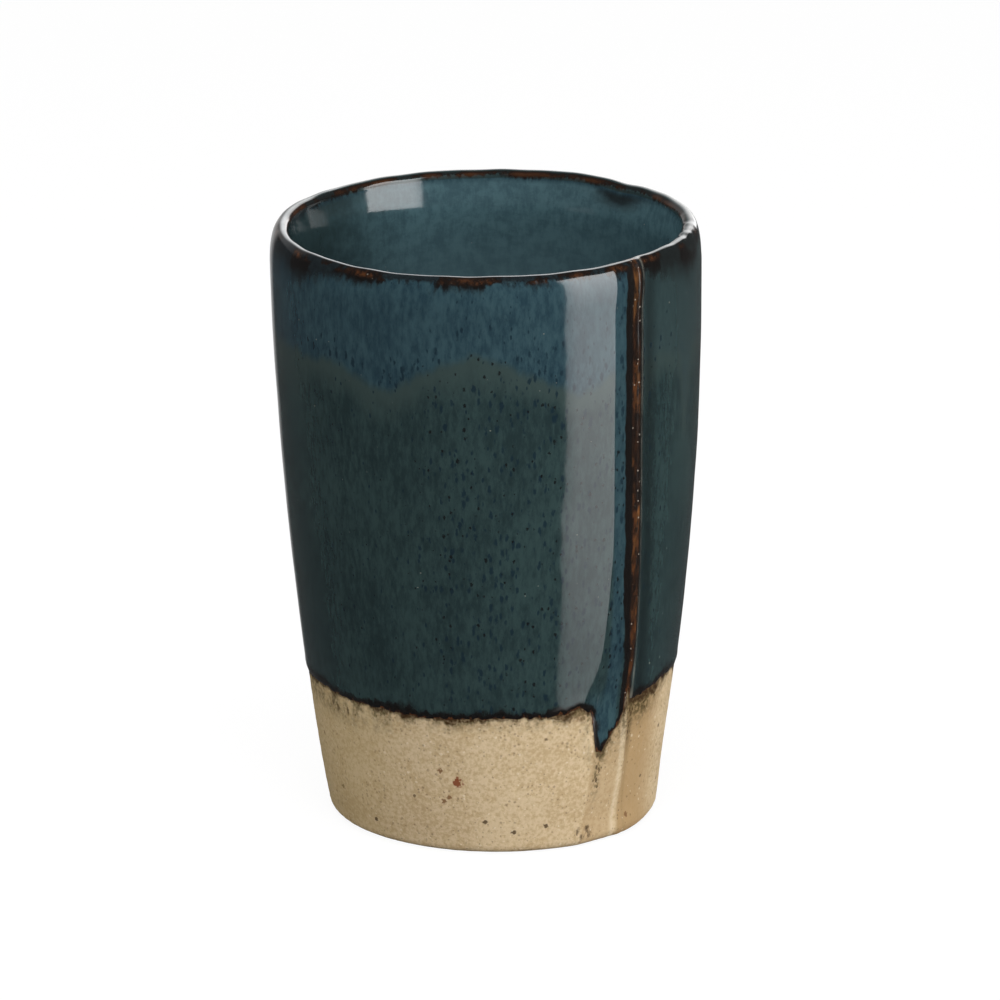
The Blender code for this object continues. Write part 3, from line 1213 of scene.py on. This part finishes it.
@dataclass(frozen=True)
class ReactiveGlaze:
    """Glossy teal glaze that turns blue where it is dipped twice and breaks brown where it is thin."""

    teal: Colour = (0.0272, 0.0515, 0.0515)
    teal_deep: Colour = (0.0135, 0.0275, 0.0295)
    blue: Colour = (0.0335, 0.0705, 0.0850)
    blue_deep: Colour = (0.0145, 0.0360, 0.0495)
    pooled: Colour = (0.0370, 0.0790, 0.0890)
    ink: Colour = (0.0060, 0.0170, 0.0270)
    olive: Colour = (0.0370, 0.0590, 0.0560)
    # Black of the iron specks; the same colour paints the shade beside the lap's step.
    black: Colour = (0.0045, 0.0058, 0.0062)
    burnt: Colour = (0.0062, 0.0050, 0.0045)
    rust: Colour = (0.1050, 0.0370, 0.0120)
    amber: Colour = (0.2200, 0.0900, 0.0260)
    crumb: Colour = (0.5200, 0.4700, 0.3900)
    # Pale specks; the same colour paints the highlight on the lap's step.
    pale: Colour = (0.3000, 0.3000, 0.2500)
    liner: Colour = (0.0710, 0.1370, 0.1580)
    liner_deep: Colour = (0.0445, 0.0900, 0.1085)
    liner_low: Colour = (0.0980, 0.1640, 0.1860)
    liner_left_dark: Colour = (0.0190, 0.0330, 0.0340)
    gloss: float = 0.06
    run_from: float = 25.0 * MM
    run_full: float = 20.0 * MM
    # The distance from the ridge jumps opposite the lap, so what lies on one side of it fades before.
    fade_from: float = 72.0
    fade_to: float = 81.0
    smear: Point = (18.1 * MM, 19.9 * MM, 83.0 * MM)

    def material(self) -> bpy.types.Material:
        """Lays out the glaze.

        Returns:
            The material.
        """
        sheet = Sheet(bpy.data.materials.new("reactive_glaze"))
        names = ("above_line", "above_dip", "from_ridge", "from_lip", "lip_burn")
        marks = {name: sheet.mark(name) for name in names}
        colour = self.ground(sheet, marks)
        colour = self.specks(sheet, marks, colour)
        colour, thin = self.breaks(sheet, marks, colour)
        cloud = sheet.noise(2.5 * MM, sheet.stretched())
        sheet.bump(sheet.noise(0.9 * MM, sheet.stretched(), 2.0), 0.02 * MM, 0.25)
        return sheet.finish(colour, self.gloss + cloud * 0.05 + thin * 0.03)

    def ground(self, sheet: Sheet, marks: Marks) -> Paint:
        """Teal ground, the blue second dip with the olive band under it, the blue pool, and painted shade
        right of the lap's ridge and under the lip on that side.

        Args:
            sheet: The finish's sheet.
            marks: The distances that the piece carries.

        Returns:
            The colour.
        """
        ridge = marks["from_ridge"]
        lip = marks["from_lip"]
        upright = sheet.stretched(0.35)
        streaks = sheet.noise(0.8 * MM, upright, 4.0, 0.7)
        clouds = sheet.noise(9.0 * MM, sheet.stretched(0.6), 2.0)
        tone = (streaks * 0.65 + clouds * 0.35).step(0.36, 0.64)
        teal = sheet.mix(tone, self.teal_deep, self.teal)
        blue = sheet.mix(tone, self.blue_deep, self.blue)
        waver = sheet.noise(2.2 * MM, upright, 3.0) - 0.5
        dip = marks["above_dip"] + waver * 3.0
        olive = dip.step(1.0 - clouds * 15.0, -0.4) * 0.8
        colour = sheet.mix(olive, teal, self.olive)
        behind_lap = abs(ridge + 6.0).step(3.0, 5.0) * ridge.step(-8.0, 0.0)
        behind_lap = behind_lap * ridge.step(self.fade_to, self.fade_from)
        colour = sheet.mix(dip.step(-0.6, 1.2) * behind_lap.more(0.25), colour, blue)
        pool = ridge.near(2.7, 2.0).step(0.0, 0.6)
        colour = sheet.mix(pool * 0.85, colour, blue)
        run = ridge.near(4.2, 3.6).step(0.0, 0.3) * sheet.z.step(self.run_from, self.run_full)
        colour = sheet.mix(run, colour, sheet.mix(tone, blue, self.pooled))
        right_end = ridge.step(-self.fade_to, -self.fade_from)
        colour = sheet.mix(ridge.step(-2.5, -5.0) * 0.05 * right_end, colour, self.olive)
        # Painted shade: a dark band just right of the lap's ridge, at the foot of its step.
        colour = sheet.mix(ridge.near(-3.2, 2.4) * 0.6, colour, self.black)
        # Painted shade: right of the lap, the glaze grows darker towards the lip.
        painted_shade_near_lip = ridge.step(-2.0, -5.0) * right_end * lip.step(20.0, 3.0)
        colour = sheet.mix(painted_shade_near_lip * 0.4, colour, self.teal_deep)
        return sheet.mix(lip.step(-0.8, -1.8), colour, self.lining(sheet, streaks))

    def lining(self, sheet: Sheet, streaks: Tone) -> Paint:
        """Cloudy blue of the inside, darker on the left, with one dark patch.

        Args:
            sheet: The finish's sheet.
            streaks: Upright streaks of the ground.

        Returns:
            The colour.
        """
        pooled = sheet.noise(3.2 * MM, sheet.stretched(1.6), 6.0, 0.66) * 0.6 + streaks * 0.4
        liner = sheet.mix(pooled.step(0.38, 0.62), self.liner_deep, self.liner)
        liner = sheet.mix(sheet.z.step(80.0 * MM, 66.0 * MM) * 0.4, liner, self.liner_low)
        # Darker towards the left of the inside.
        across = sheet.x + pooled * (8.0 * MM)
        liner = sheet.mix(across.step(-6.0 * MM, -23.0 * MM), liner, self.liner_left_dark)
        return sheet.mix(sheet.spot(self.smear, 6.5 * MM, 0.42, 0.75, 0.9) * 0.85, liner, self.burnt)

    def specks(self, sheet: Sheet, marks: Marks, colour: Paint) -> Paint:
        """Ink-blue dashes, black iron specks and a few pale ones.

        Args:
            sheet: The finish's sheet.
            marks: The distances that the piece carries.
            colour: The ground.

        Returns:
            The colour with its specks.
        """
        ridge = marks["from_ridge"]
        dip = marks["above_dip"]
        pool = ridge.near(2.6, 1.8) * sheet.z.step(21.0 * MM, 27.0 * MM)
        run = ridge.near(4.5, 4.5) * 1.6 * sheet.z.step(self.run_from, self.run_full)
        middle = (sheet.x.step(-20.0 * MM, -4.0 * MM).more(0.5) - run).more(0.0)
        high = 0.4 + dip.step(9.0, 3.0) * 0.45
        amount = dip.near(2.2, 5.5).more(pool).more(middle * high)
        ahead = (ridge.step(-4.0, -1.0) * ridge.step(self.fade_to, self.fade_from)).more(0.6)
        outside = marks["from_lip"].step(-1.0, 1.0) * ahead
        upright = sheet.stretched(0.45, (0.013, 0.0, 0.0))
        dashes = sheet.scatter(0.75 * MM, 0.66, upright, amount * outside, 0.6)
        colour = sheet.mix(dashes * 0.85, colour, self.ink)
        beads = sheet.scatter(1.25 * MM, 0.5, sheet.stretched(0.75, (0.0, 0.0, 0.017)), pool, 0.5)
        colour = sheet.mix(beads * 0.75, colour, self.ink)
        crowd = sheet.noise(9.0 * MM, sheet.stretched(), 2.0).step(0.1, 0.6) * dip.step(6.0, -2.0)
        crowd = crowd * (middle * outside)
        spots = sheet.scatter(0.95 * MM, 0.32, sheet.stretched(0.7), crowd, 0.4)
        colour = sheet.mix(spots * 0.85, colour, self.black)
        drops = sheet.scatter(2.1 * MM, 0.21, sheet.stretched(0.5, (0.0, 0.0, 0.031)), crowd, 0.5)
        colour = sheet.mix(drops * 0.9, colour, self.ink)
        pale = sheet.scatter(2.4 * MM, 0.06, sheet.stretched(1.0, (0.0, 0.021, 0.0)))
        return sheet.mix(pale * 0.45, colour, self.pale)

    def breaks(self, sheet: Sheet, marks: Marks, colour: Paint) -> Tuple[Paint, Tone]:
        """Burnt and rusty edges at the lip, on the lap's ridge and along the lower line, and a painted
        highlight on the step right of the ridge.

        Args:
            sheet: The finish's sheet.
            marks: The distances that the piece carries.
            colour: The glaze so far.

        Returns:
            The colour with its broken edges, and how thin the glaze is.
        """
        ridge = marks["from_ridge"]
        lip = marks["from_lip"]
        down = 0.0 - lip
        patches = sheet.noise(5.0 * MM, sheet.stretched(), 4.0, 0.6)
        patchy = patches - 0.5
        fine = sheet.noise(0.8 * MM, sheet.stretched(0.35), 3.0)
        ragged = sheet.noise(0.7 * MM, sheet.stretched(0.4), 3.0) - 0.5
        reach = (marks["lip_burn"] + patchy * 3.0 + ragged * 2.4).more(0.45)
        lip_out = lip.step(reach * 2.0, 0.1) * lip.step(-0.1, 0.1)
        lip_in = down.step(reach * 1.25, 0.2) * down.step(0.0, 0.2)
        burn = lip_out.more(lip_in)
        grown = marks["above_line"].step(1.0, 16.0)
        outer = 1.1 + grown * 1.1
        crest = (abs(ridge - 0.05) + ragged * 0.8).step(outer, outer - 0.6)
        edge = marks["above_line"] + ragged * 1.8
        broad = (2.0 + patchy * 4.5 - ridge.near(1.0, 4.0) * 1.3).more(0.6)
        thin = burn.more(crest.more(edge.step(broad, 0.1)))
        burnt = (thin + fine * 0.3).step(0.15, 0.95)
        full = (1.0 - burn * patches.step(0.5, 0.36)).more(0.8)
        colour = sheet.mix(burnt * full, colour, self.burnt)
        wide = 0.6 + grown * 0.45
        core = ridge.near(wide - 1.05, wide).step(0.0, 0.6)
        bright = core * sheet.noise(2.4 * MM, sheet.stretched(0.3), 3.0).step(0.48, 0.74)
        lip_core = lip.near(0.5, 0.6) * patches.step(0.46, 0.62)
        inner_core = down.near(0.5, 0.5) * patches.step(0.42, 0.66)
        rusty = (core * (0.2 + patches.step(0.35, 0.75))).more(edge.step(0.3, 0.05))
        rusty = rusty.more(lip_core * 0.8) * fine.step(0.30, 0.70)
        colour = sheet.mix(rusty.more(inner_core * 0.5), colour, self.rust)
        colour = sheet.mix(bright * fine.step(0.25, 0.75), colour, self.amber)
        # Painted highlight: a pale line on the face of the lap's step, right of the ridge.
        painted_highlight_flank = ridge.near(-1.5, 0.5) * patches.step(0.3, 0.6)
        colour = sheet.mix(painted_highlight_flank * 0.4, colour, self.pale)
        crumbs = sheet.scatter(0.8 * MM, 0.2, sheet.stretched(1.0, (0.0, 0.0, 0.007)))
        crumbs = crumbs * core.more(lip_core * 0.6)
        return sheet.mix(crumbs * 0.8, colour, self.crumb), burnt


@dataclass(frozen=True)
class BareStoneware:
    """Sandy unglazed clay with iron specks, grog, stains from the glaze, painted shade on the left and a
    painted highlight along the lap's ridge.
    """

    sand: Colour = (0.622, 0.488, 0.313)
    sand_warm: Colour = (0.478, 0.350, 0.196)
    tan_dark: Colour = (0.385, 0.252, 0.118)
    speck: Colour = (0.085, 0.050, 0.026)
    # Grog's colour, also used for the painted highlight along the lap's ridge.
    grog: Colour = (0.750, 0.650, 0.480)
    olive: Colour = (0.110, 0.090, 0.040)
    rust: Colour = (0.040, 0.019, 0.006)
    shaded: Colour = (0.430, 0.312, 0.115)
    drab: Colour = (0.085, 0.058, 0.022)
    iron: Colour = (0.190, 0.034, 0.010)
    umber: Colour = (0.200, 0.100, 0.045)
    rough: float = 0.82
    shine: float = 0.12
    form: CupForm = CupForm()
    arch: Place = (26.6, 20.3)
    iron_spot: Place = (-11.3, 11.1)
    umber_spots: Tuple[Place, ...] = ((-14.4, 8.7), (-16.2, 8.0), (-17.0, 12.6), (52.0, 3.0))
    dark_spots: Tuple[Place, ...] = ((6.9, 3.4), (17.7, 4.1), (-2.8, 5.1), (-44.2, 3.1))
    smudges: Tuple[Place, ...] = (
        (29.6, 2.4), (31.4, 1.6), (33.2, 2.6), (34.6, 1.7), (-56.0, 18.7), (-59.0, 19.3), (-51.0, 18.9))

    def material(self) -> bpy.types.Material:
        """Lays out the clay.

        Returns:
            The material.
        """
        sheet = Sheet(bpy.data.materials.new("bare_stoneware"))
        sheet.fill(sheet.tree.nodes["Principled BSDF"], {"Specular IOR Level": self.shine})
        below, ridge, height = (sheet.mark(name) for name in ("below_line", "from_ridge", "up_wall"))
        flat = sheet.stretched()
        sandy = sheet.noise(0.55 * MM, flat, 3.0, 0.65)
        clouds = sheet.noise(7.0 * MM, flat, 3.0)
        colour = sheet.mix((sandy * 0.7 + clouds * 0.3).step(0.36, 0.60), self.sand_warm, self.sand)
        # Darker tan to the right of the lap's ridge and on the pressed strip left of it.
        lapped = ridge.step(-0.6, -1.4) * ridge.step(-13.0, -5.0)
        colour = sheet.mix(lapped * 0.85, colour, self.tan_dark)
        flattened = ridge.step(5.6, 5.1) * ridge.step(-0.6, 0.8)
        colour = sheet.mix(flattened * 0.45, colour, self.tan_dark)
        grog = sheet.scatter(1.1 * MM, 0.22, sheet.stretched(1.0, (0.005, 0.0, 0.0)))
        colour = sheet.mix(grog * 0.5, colour, self.grog)
        crowd = sheet.noise(5.0 * MM, flat, 2.0).step(0.25, 0.6)
        colour = sheet.mix(sheet.scatter(0.6 * MM, 0.42, flat, crowd) * 0.42, colour, self.speck)
        larger = sheet.scatter(2.6 * MM, 0.15, sheet.stretched(1.0, (0.0, 0.011, 0.0)))
        colour = sheet.mix(larger * 0.75, colour, self.speck)
        # Painted highlight: a pale line along the crest of the lap's ridge.
        colour = sheet.mix(ridge.near(-0.1, 0.55) * 0.3, colour, self.grog)
        colour = sheet.mix(ridge.near(-2.3, 0.5) * 0.15, colour, self.olive)
        colour = sheet.mix(height.step(0.9, 0.2) * 0.45, colour, self.olive)
        colour = self.stains(sheet, below, ridge, height, colour)
        colour = self.single_spots(sheet, colour)
        sheet.bump(sandy + grog * 0.4, 0.13 * MM, 0.6)
        return sheet.finish(colour, self.rough + clouds * 0.12)

    def stains(self, sheet: Sheet, below: Tone, ridge: Tone, height: Tone, colour: Paint) -> Paint:
        """Rust and olive stains that the glaze leaves on the clay, and painted shade on the left side.

        Args:
            sheet: The finish's sheet.
            below: Distance below the glaze's edge.
            ridge: Distance to the left of the lap's ridge.
            height: Height above the foot.
            colour: The clay so far.

        Returns:
            The stained colour.
        """
        patches = sheet.noise(3.0 * MM, sheet.stretched(0.5), 4.0, 0.6)
        fine = sheet.noise(0.6 * MM, sheet.stretched(), 3.0)
        grainy = fine.step(0.38, 0.62)
        halo = below.step(1.6, 0.0) * patches.step(0.4, 0.65)
        colour = sheet.mix(halo * 0.4, colour, self.umber)
        arch = sheet.spot(self.form.on_wall(*self.arch), 1.9 * MM, 0.7, 0.8)
        colour = sheet.mix(arch * (0.35 + grainy * 0.5), colour, self.umber)
        # Painted shade: the left side of the clay turns darker and warmer.
        colour = sheet.mix(sheet.x.step(-9.0 * MM, -21.0 * MM) * 0.32, colour, self.shaded)
        right = ridge.near(-4.5, 5.0)
        smoked = sheet.x.step(-6.0 * MM, -17.0 * MM).more(0.45).more(right)
        cloudy = (patches + right * 0.2).step(0.34, 0.56)
        smoke = below.step(smoked * 5.5, 0.2) * cloudy
        dots = sheet.scatter(0.5 * MM, 0.6, sheet.stretched(0.8, (0.003, 0.0, 0.0)), smoke, 0.5)
        colour = sheet.mix(dots * 0.7, colour, self.olive)
        colour = sheet.mix(smoke * (0.25 + grainy * 0.65), colour, self.olive)
        beside = ridge.near(-4.2, 8.0) * below.step(6.0, 0.0) * patches.step(-0.1, 0.4)
        beside = beside * (0.4 + grainy * 0.8)
        colour = sheet.mix(beside, colour, self.drab)
        gutter = ridge.near(-2.0, 1.3) * below.step(8.0, 0.5)
        colour = sheet.mix(gutter * 0.55, colour, self.drab)
        crumbs = sheet.stretched(0.6, (0.0, 0.005, 0.0))
        gutter = sheet.scatter(0.5 * MM, 1.1, crumbs, gutter.more(beside * 0.6), 0.5)
        colour = sheet.mix(gutter * 0.85, colour, self.rust)
        reach = patches.step(0.40, 0.80) * 1.3 + ridge.near(-5.0, 6.0) * 0.5
        fringe = (below + (fine - 0.5) * 1.4).step(reach + 0.3, reach - 0.05)
        colour = sheet.mix(fringe * (0.62 + grainy * 0.36), colour, self.rust)
        trail = ridge.near(4.0, 1.3) * height.step(4.0, 11.0)
        colour = sheet.mix(trail * grainy * 0.7, colour, self.olive)
        flecks = sheet.scatter(0.42 * MM, 0.95, sheet.stretched(0.6), trail, 0.5)
        return sheet.mix(flecks * 0.9, colour, self.speck)

    def single_spots(self, sheet: Sheet, colour: Paint) -> Paint:
        """The large red-brown spot at the front, the smaller ones near it and the smudges.

        Args:
            sheet: The finish's sheet.
            colour: The clay so far.

        Returns:
            The colour with the spots.
        """
        marks = [(self.iron_spot, 0.72 * MM, self.iron)]
        marks += [(place, 0.42 * MM, self.umber) for place in self.umber_spots]
        marks += [(place, 0.40 * MM, self.speck) for place in self.dark_spots]
        for place, radius, paint in marks:
            colour = sheet.mix(sheet.spot(self.form.on_wall(*place), radius) * 0.9, colour, paint)
        for place in self.smudges:
            smudge = sheet.spot(self.form.on_wall(*place), 0.45 * MM, 1.8, 0.9)
            colour = sheet.mix(smudge * 0.8, colour, self.speck)
        return colour


@dataclass
class Studio:
    """Pale floor, soft lights and the camera."""

    aim: Point = (0.92 * MM, 0.62 * MM, 44.1 * MM)
    distance: float = 1.2
    elevation: float = math.radians(17.1)
    lens: float = 309.9
    sensor: float = 36.0
    clip_end: float = 50.0
    floor_size: float = 6.0
    floor_grey: float = 0.66
    floor_rough: float = 0.9
    floor_glow: float = 1.08
    floor_share: float = 0.86
    card_from: float = math.radians(39.0)
    card_to: float = math.radians(77.0)
    card_distance: float = 0.5
    card_dim: float = 0.7
    card_gain: float = 0.32
    card_full: float = 0.35
    low_card: Place = (-0.39, 0.10)
    low_card_light: Place = (0.1, 4.9)
    high_card: Place = (0.10, 0.25)
    high_card_light: Place = (5.0, 6.6)
    top_card: Place = (0.25, 0.48)
    top_card_light: Place = (6.6, 7.6)
    key_place: Point = (-0.02, -0.46, 0.86)
    key_light: float = 5.5
    top_place: Point = (-0.10, 0.10, 0.95)
    top_light: float = 2.0
    lamp_size: float = 0.60
    room: float = 0.24
    room_seen: float = 0.07
    backdrop: float = 2.2
    # Parts of the mirrored direction over which the backdrop sets in and ends.
    backdrop_foot: Place = (0.08, 0.22)
    foot_right: Place = (0.0, 0.35)
    foot_middle: Place = (0.90, 0.97)
    backdrop_side: Place = (0.35, 0.8)
    backdrop_top: Place = (0.64, 0.42)
    backdrop_right: Place = (0.46, 0.32)
    dim_middle: Place = (0.957, 0.985)
    bright_right: Place = (-0.22, 0.14)
    low_left: Place = (0.92, 0.99)

    def build(self) -> None:
        """Sets the stage."""
        self.floor()
        self.world()
        self.softbox("softbox_low", self.low_card, self.low_card_light)
        self.softbox("softbox_high", self.high_card, self.high_card_light)
        self.softbox("softbox_top", self.top_card, self.top_card_light)
        bpy.data.objects["softbox_top"].visible_diffuse = False
        self.lamp("key", self.key_place, self.key_light)
        self.lamp("overhead", self.top_place, self.top_light)
        self.camera()
        bpy.context.scene.view_settings.view_transform = "Standard"

    def floor(self) -> None:
        """Pale floor that is white to the camera apart from the cup's shadow."""
        bpy.ops.object.select_all(action="DESELECT")
        bpy.ops.mesh.primitive_plane_add(size=self.floor_size)
        floor = bpy.context.object
        floor.name = "floor"
        floor.visible_glossy = False
        sheet = Sheet(bpy.data.materials.new("pale_floor"))
        sheet.finish((self.floor_grey, self.floor_grey, self.floor_grey), self.floor_rough)
        nodes = sheet.tree.nodes
        white = sheet.add("Emission", {"Strength": self.floor_glow})
        seen = Tone(sheet, sheet.add("LightPath").outputs["Is Camera Ray"])
        pale = nodes["Principled BSDF"].outputs["BSDF"]
        blend = sheet.add("MixShader", {0: seen * self.floor_share, 1: pale, 2: white.outputs["Emission"]})
        sheet.fill(nodes["Material Output"], {"Surface": blend.outputs["Shader"]})
        floor.data.materials.append(sheet.owner)

    def world(self) -> None:
        """Dim room all round, with a white backdrop behind the cup that the glaze mirrors."""
        world = bpy.data.worlds.new("studio")
        bpy.context.scene.world = world
        sheet = Sheet(world, "Generated")
        x, y, z = sheet.x, sheet.y, sheet.z
        level = z + x.step(*self.foot_right) * 0.1 + y.step(*self.foot_middle) * 0.22
        above = level.step(*self.backdrop_foot) * y.step(*self.backdrop_side)
        above = above * z.step(*self.backdrop_top) * x.step(*self.backdrop_right)
        above = above * (1.0 - y.step(*self.dim_middle) * 0.3)
        above = above * (0.145 + x.step(*self.bright_right) * 1.25)
        low_left = (y - x * 0.12).step(*self.low_left) * 0.3
        seen = (above.more(low_left) * self.backdrop).more(self.room_seen)
        path = sheet.add("LightPath").outputs
        glossy = Tone(sheet, path["Is Glossy Ray"])
        lit = glossy * seen + (1.0 - glossy) * self.room
        strength = Tone(sheet, path["Is Camera Ray"]).more(lit)
        sheet.fill(sheet.tree.nodes["Background"], {"Color": (1.0, 1.0, 1.0), "Strength": strength})

    def softbox(self, name: str, span: Place, light: Place) -> None:
        """Upright softbox on the right, which draws the long highlight.

        Args:
            name: The softbox's name.
            span: Heights of its lower and upper edge.
            light: Brightness at its lower and upper edge, where 1 is white.
        """
        bpy.ops.object.select_all(action="DESELECT")
        bpy.ops.mesh.primitive_plane_add(size=2.0)
        card = bpy.context.object
        card.name = name
        for vertex in card.data.vertices:
            turn = self.card_from if vertex.co.x < 0.0 else self.card_to
            height = span[0] if vertex.co.y < 0.0 else span[1]
            vertex.co = (self.card_distance * math.sin(turn), -self.card_distance * math.cos(turn), height)
        card.visible_camera = False
        card.visible_shadow = False
        sheet = Sheet(bpy.data.materials.new(name))
        ends = {"From Min": span[0], "From Max": span[1], "To Min": light[0], "To Max": light[1]}
        climb = Tone(sheet, sheet.add("MapRange", {"Value": sheet.z, **ends}).outputs["Result"])
        start = math.sin(self.card_from) * self.card_distance
        faded = self.card_dim + sheet.x.step(start, self.card_full) * self.card_gain
        glow = sheet.add("Emission", {"Strength": climb * faded})
        sheet.fill(sheet.tree.nodes["Material Output"], {"Surface": glow.outputs["Emission"]})
        card.data.materials.append(sheet.owner)

    def lamp(self, name: str, place: Point, bright: float) -> None:
        """Square soft lamp turned to the cup.

        Args:
            name: The lamp's name.
            place: Where it stands.
            bright: Brightness of its face, where 1 is white.
        """
        bpy.ops.object.light_add(type="AREA", location=place)
        lamp = bpy.context.object
        lamp.name = name
        lamp.data.size = self.lamp_size
        lamp.data.energy = bright * math.pi * self.lamp_size * self.lamp_size
        lamp.rotation_euler = (Vector(self.aim) - Vector(place)).to_track_quat("-Z", "Y").to_euler()
        lamp.visible_camera = False
        lamp.visible_glossy = False

    def camera(self) -> None:
        """Long-lens camera at the photograph's angle."""
        back = Vector((0.0, -math.cos(self.elevation), math.sin(self.elevation)))
        bpy.ops.object.camera_add(location=Vector(self.aim) + back * self.distance)
        camera = bpy.context.object
        camera.rotation_euler = (-back).to_track_quat("-Z", "Y").to_euler()
        camera.data.lens = self.lens
        camera.data.sensor_width = self.sensor
        camera.data.clip_end = self.clip_end
        bpy.context.scene.camera = camera


def main() -> None:
    """Builds the pieces in order, dresses them and sets the stage."""
    logging.basicConfig(level=logging.INFO, format="%(message)s")
    form = CupForm()
    glaze = ReactiveGlaze().material()
    clay = BareStoneware().material()
    wall = StonewareWall(form)
    wall.dress(wall.build(), clay, "stoneware", ("wall_slab", "seam_slip"))
    floor = StonewareFloor(form)
    floor.dress(floor.build(), clay, "stoneware", ("floor_disc", "floor_slip", "corner_coil"))
    skin = GlazeSkin(form)
    skin.dress(skin.build(), glaze, "body_glaze", ("body_glaze", "dip_glaze", "lip_glaze", "liner_glaze"))
    Studio().build()


if __name__ == "__main__":
    main()
